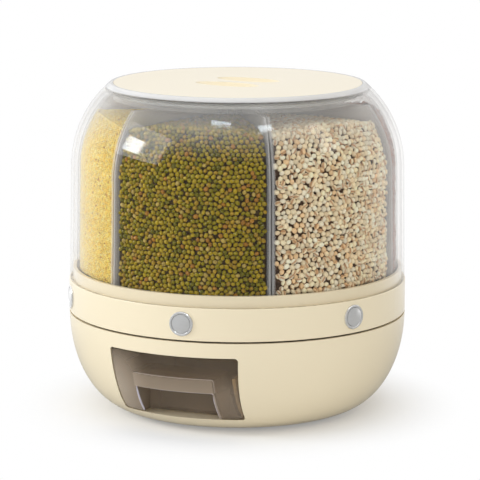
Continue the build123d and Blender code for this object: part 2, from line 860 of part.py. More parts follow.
# Lid seal: soft ring with two lips on the skirt
seal_bottom = lid_seat - skirt_length + seal_lift
seal_reach = neck_radius - slip
with BuildPart() as lid_seal:
    with BuildSketch(Plane.XZ):
        with BuildLine():
            Polyline(
                (skirt_radius, seal_bottom),
                (skirt_radius, seal_bottom + seal_height),
                (skirt_radius + seal_lip, seal_bottom + seal_height),
                (seal_reach, seal_bottom + seal_height - seal_lip),
                (skirt_radius + seal_lip, seal_bottom + seal_height - 2 * seal_lip),
                (skirt_radius + seal_lip, seal_bottom + 2 * seal_lip),
                (seal_reach, seal_bottom + seal_lip),
                (skirt_radius + seal_lip, seal_bottom),
                close=True,
            )
        make_face()
    revolve(axis=Axis.Z)
finish(lid_seal, "lid_seal")

# Lid disc: flat plate with a dished middle, where two scoops leave a grip bar between them
scoop_half = scoop_width / 2
scoop_lift = scoop_half - scoop_depth
scoop_middle = grip_width / 2 + scoop_half
dish_radius = scoop_length / 2 + dish_margin
with BuildPart() as lid_disc:
    with BuildSketch(Plane.XY.offset(ledge_top)):
        Circle(disc_radius)
    extrude(amount=disc_thickness)
    with BuildSketch(Plane.XY.offset(lid_top - scoop_depth - dish_wall)):
        Circle(dish_radius)
    extrude(amount=scoop_depth + dish_wall)
    for side in (-1, 1):
        with BuildSketch(Plane.XY.offset(lid_top + scoop_lift)):
            with BuildLine():
                rim = EllipticalCenterArc(
                    (0, side * scoop_middle), scoop_length / 2, scoop_half, start_angle=0, arc_size=180
                )
                Line(rim @ 1, rim @ 0)
            make_face()
        scoop_axis = Axis((0, side * scoop_middle, lid_top + scoop_lift), (1, 0, 0))
        revolve(axis=scoop_axis, mode=Mode.SUBTRACT)
with BuildPart() as turned_disc:
    add(lid_disc.part, rotation=(0, 0, grip_turn))
finish(turned_disc, "lid_disc")
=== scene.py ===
import bpy
import json
import math
import numpy as np
from mathutils import Matrix, Vector


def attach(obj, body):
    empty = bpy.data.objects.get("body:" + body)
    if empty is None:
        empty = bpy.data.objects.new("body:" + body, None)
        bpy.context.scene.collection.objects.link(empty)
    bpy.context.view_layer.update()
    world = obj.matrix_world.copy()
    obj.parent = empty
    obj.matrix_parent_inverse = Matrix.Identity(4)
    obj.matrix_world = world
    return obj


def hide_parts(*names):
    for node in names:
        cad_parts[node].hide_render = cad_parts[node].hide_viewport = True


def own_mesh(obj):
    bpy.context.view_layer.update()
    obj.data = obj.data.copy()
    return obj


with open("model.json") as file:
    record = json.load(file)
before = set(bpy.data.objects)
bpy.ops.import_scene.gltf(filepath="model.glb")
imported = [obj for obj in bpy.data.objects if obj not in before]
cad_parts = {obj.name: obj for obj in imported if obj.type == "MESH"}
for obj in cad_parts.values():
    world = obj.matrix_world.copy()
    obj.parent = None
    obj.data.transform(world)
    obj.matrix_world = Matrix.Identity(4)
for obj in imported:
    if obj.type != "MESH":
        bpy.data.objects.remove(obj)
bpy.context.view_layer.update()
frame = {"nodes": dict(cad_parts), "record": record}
nodes = frame["nodes"]
scene = bpy.context.scene
print("frame loaded:", len(nodes), "nodes")


# Shader wiring

class Wire:
    # One output socket. Operators between wires and numbers add Math nodes.
    def __init__(self, finish, socket):
        self.finish = finish
        self.socket = socket

    def maths(self, operation, first, second):
        return self.finish.node("ShaderNodeMath", {"operation": operation}, {0: first, 1: second})

    def __add__(self, other):
        return self.maths("ADD", self, other)

    def __radd__(self, other):
        return self.maths("ADD", other, self)

    def __sub__(self, other):
        return self.maths("SUBTRACT", self, other)

    def __rsub__(self, other):
        return self.maths("SUBTRACT", other, self)

    def __mul__(self, other):
        return self.maths("MULTIPLY", self, other)

    def __rmul__(self, other):
        return self.maths("MULTIPLY", other, self)

    def __pow__(self, other):
        return self.maths("POWER", self, other)

    def orMore(self, other):
        return self.maths("MAXIMUM", self, other)

    def orLess(self, other):
        return self.maths("MINIMUM", self, other)

    def size(self):
        return self.maths("ABSOLUTE", self, 0.0)


class Finish:
    # The node tree of one material, or of the world
    def __init__(self, owner):
        self.owner = owner
        owner.use_nodes = True
        self.tree = owner.node_tree
        self.tree.nodes.clear()

    def node(self, kind, settings=None, inputs=None, output=0):
        made = self.tree.nodes.new(kind)
        for key, value in (settings or {}).items():
            setattr(made, key, value)
        for key, value in (inputs or {}).items():
            socket = made.inputs[key]
            if isinstance(value, Wire):
                self.tree.links.new(value.socket, socket)
            elif socket.type == "RGBA":
                socket.default_value = (*value, 1.0)
            else:
                socket.default_value = value
        return Wire(self, made.outputs[output]) if made.outputs else self.owner

    def place(self):
        return self.node("ShaderNodeTexCoord", output="Object")

    def noise(self, scale, detail):
        return self.node("ShaderNodeTexNoise", None,
                         {"Vector": self.place(), "Scale": scale, "Detail": detail}, "Fac")

    def mix(self, factor, first, second):
        # a Mix node's colours are its inputs 6 and 7, and its output 2
        return self.node("ShaderNodeMix", {"data_type": "RGBA"}, {0: factor, 6: first, 7: second}, 2)

    def bump(self, height, strength, distance):
        return self.node("ShaderNodeBump", None,
                         {"Height": height, "Strength": strength, "Distance": distance}, "Normal")

    def blendShaders(self, factor, first, second):
        return self.node("ShaderNodeMixShader", None, {0: factor, 1: first, 2: second})

    def glance(self):
        # 0 where a surface is seen straight on, 1 along it
        return self.node("ShaderNodeLayerWeight", None, {"Blend": 0.5}, "Facing")

    def along(self, way):
        # distance of a point along a direction from the origin
        return self.node("ShaderNodeVectorMath", {"operation": "DOT_PRODUCT"},
                         {0: self.place(), 1: way}, "Value")

    def between(self, value, low, high):
        # smooth step from 0 at low to 1 at high
        return self.node("ShaderNodeMapRange", {"interpolation_type": "SMOOTHSTEP"},
                         {"Value": value, "From Min": low, "From Max": high}, "Result")

    def rays(self):
        # whether a ray comes straight from the camera or through glass, and whether it comes off a gloss
        path = self.node("ShaderNodeLightPath").socket.node
        seen, through, mirrored = (Wire(self, path.outputs[f"Is {kind} Ray"])
                                   for kind in ("Camera", "Transmission", "Glossy"))
        return seen.orMore(through), mirrored

    def close(self, shader, kind="ShaderNodeOutputMaterial"):
        return self.node(kind, None, {"Surface": shader})


def newFinish(name):
    return Finish(bpy.data.materials.new(name))


# Finishes. Colours are linear, scales are cycles per metre.

def mouldedFinish(name, look):
    # opaque plastic or rubber: two close tones in soft patches, a fine tool texture and uneven polish
    finish = newFinish(name)
    patches = finish.noise(look["patchScale"], detail=3.0)
    grit = finish.noise(look["gritScale"], detail=2.0)
    tone = finish.mix(patches, look["colour"], look["shade"])
    low, high = look["roughness"]
    return finish.close(finish.node("ShaderNodeBsdfPrincipled", None, {
        "Base Color": tone,
        "Roughness": patches * (high - low) + low,
        "Coat Weight": look["coat"],
        "Coat Roughness": 0.08,
        "Normal": finish.bump(grit, look["bump"], distance=0.0002),
    }))


def metalFinish(name, look):
    # metal: fine lines along one axis, with polish that changes in bands
    finish = newFinish(name)
    stretched = finish.node("ShaderNodeMapping", None, {"Vector": finish.place(), "Scale": look["lines"]})
    lines = finish.node("ShaderNodeTexNoise", None,
                        {"Vector": stretched, "Scale": 1.0, "Detail": 3.0}, "Fac")
    tone = finish.mix(lines, look["colour"], look["shade"])
    low, high = look["roughness"]
    return finish.close(finish.node("ShaderNodeBsdfPrincipled", None, {
        "Base Color": tone,
        "Metallic": look.get("metal", 1.0),
        "Roughness": lines * (high - low) + low,
        "Normal": finish.bump(lines, look["bump"], distance=0.0001),
    }))


def clearFinish(name, look, paintedLightHaze=None):
    # see-through plastic: a tinted pass and a mirror share that rises with the fifth power of the glance,
    # under a haze that gathers where the wall is seen along its length, with painted shade at its very rim
    glarePower = 5.0
    finish = newFinish(name)
    waves = finish.noise(look["waveScale"], detail=1.0)
    glance = finish.glance()
    passed = finish.node("ShaderNodeBsdfTransparent", None, {"Color": look["tint"]})
    mirror = finish.node("ShaderNodeBsdfPrincipled", None, {
        "Base Color": (1.0, 1.0, 1.0), "Metallic": 1.0, "Roughness": look["roughness"],
        "Normal": finish.bump(waves, look["ripple"], distance=0.001)})
    tone = finish.mix(waves, look["hazeColour"], look["hazeShade"])
    haze = finish.node("ShaderNodeBsdfPrincipled", None, {
        "Base Color": finish.mix(glance ** look["rimPower"], tone, look["rimPaintedShade"]), "Roughness": 0.4})
    share = waves * look["haze"] + glance ** look["edgePower"] * look["edge"]
    if paintedLightHaze:
        share = share + paintedLightHaze(finish)
    gloss = glance ** glarePower * (look["glareTop"] - look["mirror"]) + look["mirror"]
    return finish.close(finish.blendShaders(share, finish.blendShaders(gloss, passed, mirror), haze))


# Painted light and a painted highlight on single pieces, laid on as haze. A pair of lengths says where a haze
# starts and where it is full.

sideways, inwards, upwards = (1.0, 0.0, 0.0), (0.0, 1.0, 0.0), (0.0, 0.0, 1.0)
dividerPaintedLight = {"normals": (35.0, 95.0, 155.0), "near": (0.0045, 0.0008), "share": 0.42}
crownPaintedLight = {"height": (0.246, 0.286), "streakScale": 26.0, "streak": 0.9, "even": 0.45, "share": 0.13}
seatPaintedHighlight = {"height": (0.2970, 0.2982), "share": 0.62}
drawerPaintedLight = {"low": (0.066, 0.036), "lowShare": 0.26,
              "left": (-0.020, -0.062), "leftHeight": (0.086, 0.056), "leftShare": 0.56,
              "lipSide": (0.0390, 0.0375), "lipFoot": (0.0425, 0.0435), "lipTop": (0.0566, 0.0556),
              "lipFront": (-0.120, -0.125), "lipShare": 0.24}


def besideDividers(finish):
    # painted light: paler where a bin's side meets its outer wall, where the walls are seen along their length:
    # how near a point is to the planes between the bins
    normals = [math.radians(angle) for angle in dividerPaintedLight["normals"]]
    gaps = [finish.along((math.cos(angle), math.sin(angle), 0.0)).size() for angle in normals]
    nearest = gaps[0].orLess(gaps[1]).orLess(gaps[2])
    return finish.between(nearest, *dividerPaintedLight["near"]) * dividerPaintedLight["share"]


def underLid(finish):
    # painted light: the shell's crown is made paler, in soft streaks
    streaks = finish.noise(crownPaintedLight["streakScale"], detail=1.0) * crownPaintedLight["streak"] + crownPaintedLight["even"]
    return finish.between(finish.along(upwards), *crownPaintedLight["height"]) * streaks * crownPaintedLight["share"]


def overSeat(finish):
    # painted highlight: the lid's clear rim is made white above its seat
    return finish.between(finish.along(upwards), *seatPaintedHighlight["height"]) * seatPaintedHighlight["share"]


def overDrawer(finish):
    # painted light: the drawer's plastic is made paler towards the sill, at its left, and over the box behind its
    # lip
    x, y, z = (finish.along(way) for way in (sideways, inwards, upwards))
    lipBox = finish.between(x.size(), *drawerPaintedLight["lipSide"]) * finish.between(z, *drawerPaintedLight["lipFoot"])
    lipBox = lipBox * finish.between(z, *drawerPaintedLight["lipTop"]) * finish.between(y, *drawerPaintedLight["lipFront"])
    low = finish.between(z, *drawerPaintedLight["low"]) * drawerPaintedLight["lowShare"]
    left = finish.between(x, *drawerPaintedLight["left"]) * finish.between(z, *drawerPaintedLight["leftHeight"])
    return low + left * drawerPaintedLight["leftShare"] + lipBox * drawerPaintedLight["lipShare"]


def grainFinish(name, look):
    # loose grain: each grain's own colour with painted shade where it meets its neighbours, mottled, with a dry
    # skin
    finish = newFinish(name)
    perGrain = finish.node("ShaderNodeAttribute", {"attribute_name": "grainColourAndShade"}, None, "Color")
    mottle = finish.noise(look["mottleScale"], detail=2.0)
    tone = finish.mix(mottle * look["mottle"], perGrain, look["mottleColour"])
    roughnessSpan = 0.2
    return finish.close(finish.node("ShaderNodeBsdfPrincipled", None, {
        "Base Color": tone,
        "Roughness": mottle * roughnessSpan + look["roughness"],
        "Normal": finish.bump(mottle, strength=0.15, distance=0.0002),
    }))


def bedFinish(name, look):
    # what shows between the front grains: painted shade, as dark as deeper grains in shadow, in cells the size of
    # a grain that are darker still towards their edges
    finish = newFinish(name)
    cells = finish.node("ShaderNodeTexVoronoi", None,
                        {"Vector": finish.place(), "Scale": look["cellScale"]}, "Distance")
    tone = finish.mix(cells, look["colour"], look["shade"])
    return finish.close(finish.node("ShaderNodeBsdfPrincipled", None, {
        "Base Color": tone,
        "Roughness": 0.8,
        "Normal": finish.bump(1.0 - cells, strength=0.6, distance=0.001),
    }))


mouldedLooks = {
    "cream_plastic": {"colour": (0.900, 0.790, 0.575), "shade": (0.880, 0.765, 0.545), "patchScale": 7.0,
                      "gritScale": 1600.0, "roughness": (0.26, 0.36), "coat": 0.35, "bump": 0.05},
    "inner_plastic": {"colour": (0.62, 0.56, 0.46), "shade": (0.56, 0.50, 0.41), "patchScale": 12.0,
                      "gritScale": 900.0, "roughness": (0.45, 0.6), "coat": 0.0, "bump": 0.15},
    "gate_plastic": {"colour": (0.80, 0.79, 0.75), "shade": (0.74, 0.73, 0.69), "patchScale": 30.0,
                     "gritScale": 1200.0, "roughness": (0.3, 0.42), "coat": 0.0, "bump": 0.1},
    "foot_rubber": {"colour": (0.026, 0.025, 0.023), "shade": (0.040, 0.038, 0.035), "patchScale": 60.0,
                    "gritScale": 700.0, "roughness": (0.7, 0.9), "coat": 0.0, "bump": 0.3},
    # pale, as painted highlight on the finger pocket's edges
    "pocket_rim": {"colour": (0.74, 0.71, 0.80), "shade": (0.66, 0.62, 0.71), "patchScale": 60.0,
                   "gritScale": 900.0, "roughness": (0.12, 0.22), "coat": 0.5, "bump": 0.03},
    "seal_rubber": {"colour": (0.70, 0.70, 0.68), "shade": (0.62, 0.62, 0.60), "patchScale": 40.0,
                    "gritScale": 700.0, "roughness": (0.45, 0.6), "coat": 0.0, "bump": 0.2},
}
metalLooks = {
    "chrome_trim": {"colour": (0.90, 0.895, 0.885), "shade": (0.82, 0.815, 0.805),
                    "lines": (120.0, 120.0, 900.0), "roughness": (0.10, 0.18), "bump": 0.02, "metal": 0.50},
    "screw_steel": {"colour": (0.56, 0.56, 0.55), "shade": (0.42, 0.42, 0.41),
                    "lines": (900.0, 900.0, 300.0), "roughness": (0.3, 0.45), "bump": 0.1},
    "race_steel": {"colour": (0.60, 0.60, 0.60), "shade": (0.50, 0.50, 0.50),
                   "lines": (300.0, 300.0, 900.0), "roughness": (0.15, 0.3), "bump": 0.05},
    "spring_steel": {"colour": (0.50, 0.50, 0.52), "shade": (0.36, 0.36, 0.38),
                     "lines": (700.0, 700.0, 700.0), "roughness": (0.25, 0.4), "bump": 0.1},
}
# the dark rim colours below are painted shade at a clear wall's very rim
clearLooks = {
    "clear_plastic": {
        "tint": (0.996, 0.994, 0.990), "roughness": 0.02, "waveScale": 9.0, "ripple": 0.02,
        "haze": 0.003, "hazeColour": (0.78, 0.77, 0.75), "hazeShade": (0.70, 0.69, 0.67),
        "mirror": 0.028, "glareTop": 0.55, "edge": 0.15, "edgePower": 6.0,
        "rimPaintedShade": (0.12, 0.115, 0.11), "rimPower": 16.0},
    "bin_plastic": {
        "tint": (0.996, 0.994, 0.990), "roughness": 0.03, "waveScale": 12.0, "ripple": 0.03,
        "haze": 0.002, "hazeColour": (0.84, 0.83, 0.82), "hazeShade": (0.74, 0.73, 0.72),
        "mirror": 0.009, "glareTop": 0.3, "edge": 0.30, "edgePower": 5.0,
        "rimPaintedShade": (0.05, 0.05, 0.07), "rimPower": 9.0},
    # this near-white haze colour is the colour of the lid rim's painted highlight above its seat
    "rim_plastic": {
        "tint": (0.990, 0.985, 0.978), "roughness": 0.03, "waveScale": 14.0, "ripple": 0.02,
        "haze": 0.03, "hazeColour": (0.96, 0.95, 0.94), "hazeShade": (0.90, 0.89, 0.88),
        "mirror": 0.03, "glareTop": 0.7, "edge": 0.30, "edgePower": 5.0,
        "rimPaintedShade": (0.06, 0.055, 0.05), "rimPower": 10.0},
    # the smoked plastic's haze colour also carries the painted light on the drawer
    "smoked_plastic": {
        "tint": (0.86, 0.79, 0.68), "roughness": 0.04, "waveScale": 14.0, "ripple": 0.02,
        "haze": 0.20, "hazeColour": (0.50, 0.41, 0.315), "hazeShade": (0.42, 0.335, 0.25),
        "mirror": 0.04, "glareTop": 0.7, "edge": 0.25, "edgePower": 4.0,
        "rimPaintedShade": (0.05, 0.04, 0.03), "rimPower": 8.0},
}
paintedLightHazes = {"clear_plastic": underLid, "bin_plastic": besideDividers,
              "smoked_plastic": overDrawer, "rim_plastic": overSeat}
finishes = {}
finishes.update({slot: mouldedFinish(slot, look) for slot, look in mouldedLooks.items()})
finishes.update({slot: metalFinish(slot, look) for slot, look in metalLooks.items()})
finishes.update({slot: clearFinish(slot, look, paintedLightHazes.get(slot)) for slot, look in clearLooks.items()})
print("finishes made:", len(finishes))


# Meshes

def makePiece(name, points, faces, finish, body, colours=None):
    # faces is a list of index arrays, one array for each number of corners
    corners = np.concatenate([group.ravel() for group in faces]).astype(np.int32)
    counts = np.concatenate([np.full(len(group), group.shape[1]) for group in faces])
    mesh = bpy.data.meshes.new(name)
    mesh.vertices.add(len(points))
    mesh.vertices.foreach_set("co", np.asarray(points, np.float32).ravel())
    mesh.loops.add(len(corners))
    mesh.loops.foreach_set("vertex_index", corners)
    mesh.polygons.add(len(counts))
    mesh.polygons.foreach_set("loop_start", (np.cumsum(counts) - counts).astype(np.int32))
    mesh.polygons.foreach_set("use_smooth", np.ones(len(counts), bool))
    mesh.update(calc_edges=True)
    if colours is not None:
        layer = mesh.color_attributes.new("grainColourAndShade", "FLOAT_COLOR", "POINT")
        opaque = np.column_stack([colours, np.ones(len(colours))])
        layer.data.foreach_set("color", opaque.astype(np.float32).ravel())
    mesh.materials.append(finish)
    piece = bpy.data.objects.new(name, mesh)
    scene.collection.objects.link(piece)
    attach(piece, body)
    return piece


def gridFaces(rows, columns):
    # quads between neighbours on a grid of rows by columns, with each row joined up into a ring
    row, column = np.mgrid[0:rows - 1, 0:columns]
    onward = (column + 1) % columns
    here, above = row * columns, (row + 1) * columns
    return np.stack([corner.ravel() for corner in (here + column, here + onward, above + onward, above + column)],
                    axis=1)


# Bins: the space that grain fills, in metres

binShape = {
    "count": 6,
    "firstAngle": math.radians(-85.0),
    "sideGap": 0.0031,          # from the plane between two bins to the grain
    "wallFoot": (0.1457, 0.1315),
    "shoulder": (0.1441, 0.2240),
    "arcCentre": 0.0528,
    "topHeight": 0.2753,
    "heapArc": 0.3264,          # radius of the heap's crown from side to side
    "hubRadius": 0.0265,
    "crest": 0.1500,
    "outlet": ((0.0880, 0.1165), (0.1075, 0.1165)),
}


def binAngle(index):
    return binShape["firstAngle"] + (index - 1) * 2 * math.pi / binShape["count"]


def halfWidth(radius):
    # angle from a bin's middle to its grain's side, at each radius
    return math.pi / binShape["count"] - np.arcsin(binShape["sideGap"] / radius)


footRadius, footHeight = binShape["wallFoot"]
shoulderRadius, shoulderHeight = binShape["shoulder"]
straight = shoulderHeight - footHeight
shoulderArc = shoulderRadius - binShape["arcCentre"]


def wallPoint(along):
    # the grain's outer face at a distance along its profile: straight up, then round the shoulder's arc
    turn = np.clip((along - straight) / shoulderArc, 0.0, None)
    share = np.clip(along / straight, 0.0, 1.0)
    radius = np.where(turn > 0, binShape["arcCentre"] + shoulderArc * np.cos(turn),
                      footRadius + (shoulderRadius - footRadius) * share)
    height = np.where(turn > 0, shoulderHeight + shoulderArc * np.sin(turn), footHeight + straight * share)
    return radius, height, turn


def alongTo(height):
    # the distance along that profile at which it reaches a height on the shoulder
    return straight + shoulderArc * np.arcsin(np.clip((height - shoulderHeight) / shoulderArc, 0, 1))


def heapHeight(radius, angle):
    # the heap's top: a round crown from side to side, level from the hub outwards
    arc = binShape["heapArc"]
    return binShape["topHeight"] - arc + np.sqrt(arc ** 2 - (radius * np.sin(angle)) ** 2)


# Grain shapes, as unit solids of a few dozen faces

def roundGrain(around, along):
    # a sphere as rings between two poles
    ring = np.arange(1, along) * math.pi / along
    turn = np.arange(around) * 2 * math.pi / around
    ring, turn = (a.ravel() for a in np.meshgrid(ring, turn, indexing="ij"))
    points = np.stack([np.cos(ring), np.sin(ring) * np.cos(turn), np.sin(ring) * np.sin(turn)], axis=1)
    points = np.vstack([points, [[1, 0, 0], [-1, 0, 0]]])
    quads = gridFaces(along - 1, around)[:, ::-1]
    step = np.arange(around)
    first, last = len(points) - 2, (along - 2) * around
    cap = np.stack([np.full(around, first), step, (step + 1) % around], axis=1)
    foot = np.stack([np.full(around, first + 1), last + (step + 1) % around, last + step], axis=1)
    triangles = np.vstack([quads[:, [0, 1, 2]], quads[:, [0, 2, 3]], cap, foot])
    return points, triangles


def creasedGrain(around, along):
    # a round grain whose first row of points is pulled in, as a groove from end to end
    grooveScale = (0.97, 0.72, 0.72)
    points, triangles = roundGrain(around, along)
    groove = np.arange(len(points)) % around == 0
    groove[-2:] = False
    points = np.where(groove[:, None], points * grooveScale, points)
    return points, triangles, groove


def seedGrain():
    # the twelve corners of an icosahedron, where g is the golden ratio
    g = (1 + math.sqrt(5)) / 2
    points = np.array([[-1, g, 0], [1, g, 0], [-1, -g, 0], [1, -g, 0], [0, -1, g], [0, 1, g],
                       [0, -1, -g], [0, 1, -g], [g, 0, -1], [g, 0, 1], [-g, 0, -1], [-g, 0, 1]])
    triangles = np.array([[0, 11, 5], [0, 5, 1], [0, 1, 7], [0, 7, 10], [0, 10, 11], [1, 5, 9], [5, 11, 4],
                          [11, 10, 2], [10, 7, 6], [7, 1, 8], [3, 9, 4], [3, 4, 2], [3, 2, 6], [3, 6, 8],
                          [3, 8, 9], [4, 9, 5], [2, 4, 11], [6, 2, 10], [8, 6, 7], [9, 8, 1]])
    return points / math.hypot(1, g), triangles


# points, triangles and, where there is one, the points of a groove
grainShapes = {"round": (*roundGrain(around=8, along=5), None), "creased": creasedGrain(around=8, along=6),
               "seed": (*seedGrain(), None)}
# each grain's colours carry painted shade where it touches its neighbours, as deep as set below
grainLooks = {
    1: {"slot": "mung_beans", "paintedShade": 0.82, "shape": "round", "size": (0.0049, 0.0043, 0.0042),
        "spacing": 0.00455, "spread": 0.13,
        "colours": [(0.430, 0.310, 0.016), (0.310, 0.250, 0.010), (0.430, 0.270, 0.026),
                    (0.450, 0.205, 0.030), (0.170, 0.150, 0.008), (0.520, 0.375, 0.090)],
        "shares": [0.36, 0.26, 0.17, 0.05, 0.11, 0.05], "roughness": 0.16,
        "mottle": 0.16, "mottleScale": 700.0, "mottleColour": (0.18, 0.14, 0.010),
        # the bed's two colours are painted shade: the dark of deeper grains in the gaps
        "bed": (0.075, 0.043, 0.005), "bedShade": (0.030, 0.017, 0.002)},
    2: {"slot": "job_tears", "paintedShade": 0.36, "shape": "creased", "size": (0.0056, 0.0051, 0.0048),
        "spacing": 0.0051, "spread": 0.15,
        "colours": [(0.985, 0.850, 0.590), (0.990, 0.920, 0.725), (0.900, 0.630, 0.350),
                    (0.975, 0.790, 0.520)],
        "shares": [0.42, 0.30, 0.08, 0.20], "crease": (0.480, 0.220, 0.080), "roughness": 0.45,
        "mottle": 0.2, "mottleScale": 600.0, "mottleColour": (0.80, 0.58, 0.36),
        "bed": (0.10, 0.050, 0.022), "bedShade": (0.03, 0.014, 0.006)},
    3: {"slot": "brown_rice", "paintedShade": 0.5, "shape": "round", "size": (0.0066, 0.0028, 0.0025),
        "spacing": 0.0036, "spread": 0.14,
        "colours": [(0.330, 0.110, 0.042), (0.240, 0.075, 0.030), (0.430, 0.170, 0.070)],
        "shares": [0.5, 0.3, 0.2], "roughness": 0.45,
        "mottle": 0.2, "mottleScale": 700.0, "mottleColour": (0.16, 0.05, 0.02),
        "bed": (0.10, 0.035, 0.014), "bedShade": (0.03, 0.010, 0.005)},
    4: {"slot": "red_beans", "paintedShade": 0.5, "shape": "round", "size": (0.0074, 0.0054, 0.0052),
        "spacing": 0.0057, "spread": 0.14,
        "colours": [(0.230, 0.034, 0.022), (0.170, 0.022, 0.016), (0.300, 0.060, 0.034)],
        "shares": [0.5, 0.3, 0.2], "roughness": 0.25,
        "mottle": 0.2, "mottleScale": 500.0, "mottleColour": (0.10, 0.014, 0.010),
        "bed": (0.05, 0.010, 0.007), "bedShade": (0.015, 0.004, 0.003)},
    5: {"slot": "red_sorghum", "paintedShade": 0.5, "shape": "round", "size": (0.0044, 0.0040, 0.0036),
        "spacing": 0.0040, "spread": 0.14,
        "colours": [(0.342, 0.098, 0.026), (0.250, 0.062, 0.018), (0.420, 0.160, 0.060)],
        "shares": [0.5, 0.3, 0.2], "roughness": 0.4,
        "mottle": 0.25, "mottleScale": 700.0, "mottleColour": (0.15, 0.035, 0.012),
        "bed": (0.08, 0.022, 0.008), "bedShade": (0.03, 0.008, 0.004)},
    6: {"slot": "yellow_millet", "paintedShade": 0.12, "shape": "seed", "size": (0.0022, 0.0021, 0.0020),
        "spacing": 0.00195, "spread": 0.14,
        "colours": [(0.985, 0.770, 0.190), (0.980, 0.690, 0.120), (0.990, 0.830, 0.310),
                    (0.560, 0.270, 0.060)],
        "shares": [0.5, 0.29, 0.195, 0.015], "roughness": 0.5,
        "mottle": 0.15, "mottleScale": 900.0, "mottleColour": (0.70, 0.42, 0.10),
        "bed": (0.62, 0.38, 0.09), "bedShade": (0.32, 0.17, 0.035)},
}


# lengths here are in grain spacings; far is what a grain has to itself, so that it can't push itself
packing = {"rows": 22, "columns": 23, "pitch": 0.866, "shake": 0.25, "touch": 0.97, "rounds": 14, "push": 0.22,
           "leastGap": 0.05, "far": 9}


def packSpots(width, length, look, rng):
    # a tile of staggered rows, shaken well, whose grains of different sizes then push each other apart, round
    # its edges too; tiles side by side cover a face of this width and length, in metres
    rows = int(length / look["spacing"] / packing["pitch"]) + 2
    columns = int(width / look["spacing"]) + 4
    tile = np.array([packing["columns"], packing["pitch"] * packing["rows"]])
    row, column = (a.ravel().astype(float) for a in np.mgrid[0:packing["rows"], 0:packing["columns"]])
    count = len(row)
    size = 1 + look["spread"] * rng.uniform(-1, 1, count)
    spot = np.stack([column + 0.5 * (row % 2), packing["pitch"] * row], axis=1)
    spot = spot + rng.normal(0, packing["shake"], (count, 2))
    want = (size[:, None] + size[None, :]) / 2 * packing["touch"]
    for _ in range(packing["rounds"]):
        away = spot[:, None, :] - spot[None, :, :]
        away -= tile * np.round(away / tile)
        gap = np.hypot(away[..., 0], away[..., 1]) + np.eye(count) * packing["far"]
        press = np.clip(want - gap, 0, None) / np.maximum(gap, packing["leastGap"])
        spot = spot + packing["push"] * (away * press[..., None]).sum(axis=1)
    spot %= tile
    across, up = (math.ceil(n / m) for n, m in ((columns, packing["columns"]), (rows, packing["rows"])))
    shift = np.stack(np.meshgrid(np.arange(across), np.arange(up)), axis=-1).reshape(-1, 1, 2) * tile
    return (spot + shift).reshape(-1, 2), np.tile(size, across * up)


def spinMatrices(count, tilt, rng):
    # a turn about the face's normal, after a tilt out of the face
    turn = rng.uniform(0, 2 * math.pi, count)
    lean = rng.normal(0, tilt, count)
    roll = rng.uniform(0, 2 * math.pi, count)
    zero, one = np.zeros(count), np.ones(count)

    def stacked(rows):
        return np.stack([np.stack(r, axis=-1) for r in rows], axis=-2)

    about = stacked([[np.cos(turn), -np.sin(turn), zero],
                     [np.sin(turn), np.cos(turn), zero],
                     [zero, zero, one]])
    tip = stacked([[np.cos(lean), zero, np.sin(lean)],
                   [zero, one, zero],
                   [-np.sin(lean), zero, np.cos(lean)]])
    spin = stacked([[one, zero, zero],
                    [zero, np.cos(roll), -np.sin(roll)],
                    [zero, np.sin(roll), np.cos(roll)]])
    return about @ tip @ spin


# painted shade in the grains' colours: midLight is how lit a grain is level with its centre, lightSlope what a
# half thickness further out adds
scatter = {"tilt": 0.35, "tone": (0.82, 1.15), "midLight": 0.40, "lightSlope": 0.75}


def scatterGrains(name, index, centres, axes, sizes, look, rng):
    # one copy of the grain's shape at each centre, turned into the face's axes and scaled
    points, triangles, groove = grainShapes[look["shape"]]
    turned = axes @ spinMatrices(len(centres), scatter["tilt"], rng)
    solid = points * np.array(look["size"]) / 2
    placed = centres[:, None, :] + sizes[:, None, None] * np.einsum("gij,vj->gvi", turned, solid)
    faces = (triangles[None] + (np.arange(len(centres)) * len(points))[:, None, None]).reshape(-1, 3)
    perGrain = np.array(look["colours"])[rng.choice(len(look["shares"]), len(centres), p=look["shares"])]
    perGrain = perGrain * rng.uniform(*scatter["tone"], (len(centres), 1))
    # painted shade, darker where a grain touches its neighbours: how far each point stands out of the face
    proud = np.einsum("gvi,gi->gv", placed - centres[:, None, :], axes[..., 2])
    proud = proud / (look["size"][2] / 2 * sizes[:, None])
    lit = np.clip(scatter["midLight"] + scatter["lightSlope"] * proud, 0, 1)
    colours = perGrain[:, None, :] * (1 - look["paintedShade"] * (1 - lit))[..., None]
    if groove is not None:
        colours = np.where(groove[None, :, None], np.array(look["crease"]), colours)
    return makePiece(name, placed.reshape(-1, 3), [faces], grainFinishes[index], "hopper",
                     np.clip(colours, 0, 1).reshape(-1, 3))


def radialAxes(angle, turn):
    # across the bin, up its face, and out of it
    out = np.stack([np.cos(turn) * np.cos(angle), np.cos(turn) * np.sin(angle), np.sin(turn)], axis=-1)
    across = np.stack([-np.sin(angle), np.cos(angle), np.zeros_like(angle)], axis=-1)
    up = np.cross(out, across)
    return np.stack([across, up, out], axis=-1)


# lowered, edgeStep, edgeShake and sideGap are in grain spacings, sunk and over in a grain's half thicknesses
wallLayer = {"width": 0.165, "length": 0.150, "lowered": 0.5, "edgeRadius": 0.1283, "edgeStep": 0.95,
             "edgeShake": 0.1, "sunkShare": 0.22, "sunk": (0.1, 0.5), "sideGap": 0.35, "over": 0.9}


